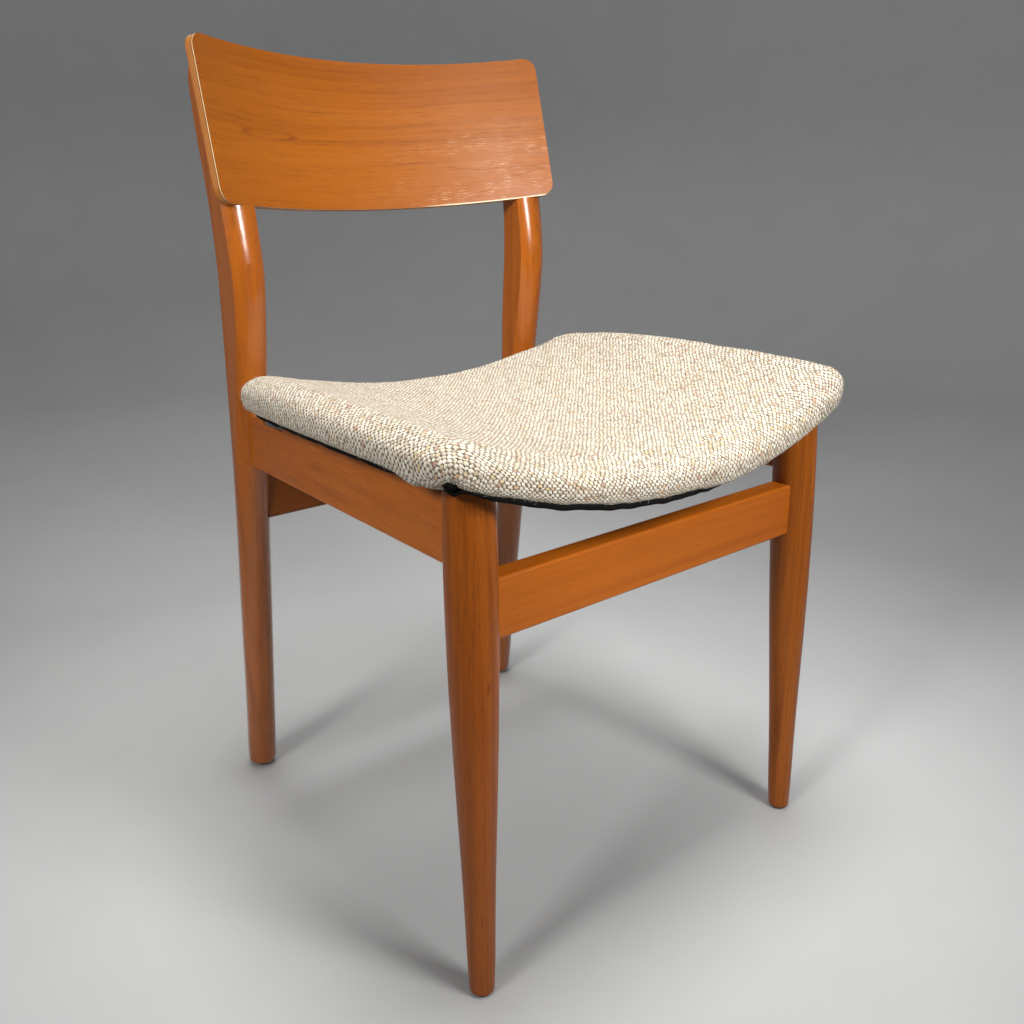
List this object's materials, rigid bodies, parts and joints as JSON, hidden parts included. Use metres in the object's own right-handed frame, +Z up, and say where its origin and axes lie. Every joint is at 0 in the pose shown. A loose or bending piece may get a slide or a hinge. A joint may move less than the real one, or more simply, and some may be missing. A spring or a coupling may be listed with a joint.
{
  "type": "dining chair",
  "caption": "Wooden dining chair with round front legs, shaped rear posts, a curved plywood backrest and a padded tweed seat on side rails.",
  "frame": {"origin": "on the floor, under the middle of the chair's bounding box", "axes": "+Z up, -Y towards the front, +X towards the sitter's left hand"},
  "size_m": [0.466, 0.4835, 0.7643],
  "materials": {
    "teak": "satin",
    "teak_gloss": "satin",
    "veneer": "satin",
    "plywood": "matte",
    "beech": "matte",
    "foam": "matte",
    "tweed": "matte",
    "black_cloth": "matte",
    "steel": "satin",
    "nylon": "matte"
  },
  "bodies": {
    "root": {"front_leg_left": "teak", "front_leg_right": "teak", "rear_post_left": "teak_gloss", "rear_post_right": "teak_gloss", "side_rail_left": "teak", "side_rail_right": "teak", "front_rail": "teak", "rear_rail": "teak", "front_rail_dowels": "beech", "rear_rail_dowels": "beech", "side_rail_dowels": "beech", "backrest_core": "plywood", "backrest_front_veneer": "veneer", "backrest_back_veneer": "veneer", "backrest_screws": "steel", "backrest_plugs": "teak_gloss", "seat_board": "plywood", "seat_foam": "foam", "seat_cover": "tweed", "seat_bottom_cloth": "black_cloth", "cover_staples": "steel", "seat_brackets": "steel", "bracket_screws": "steel", "seat_washers": "nylon", "seat_screws": "steel", "front_left_glide": "nylon", "front_right_glide": "nylon", "rear_left_glide": "nylon", "rear_right_glide": "nylon"}
  },
  "joints": []
}
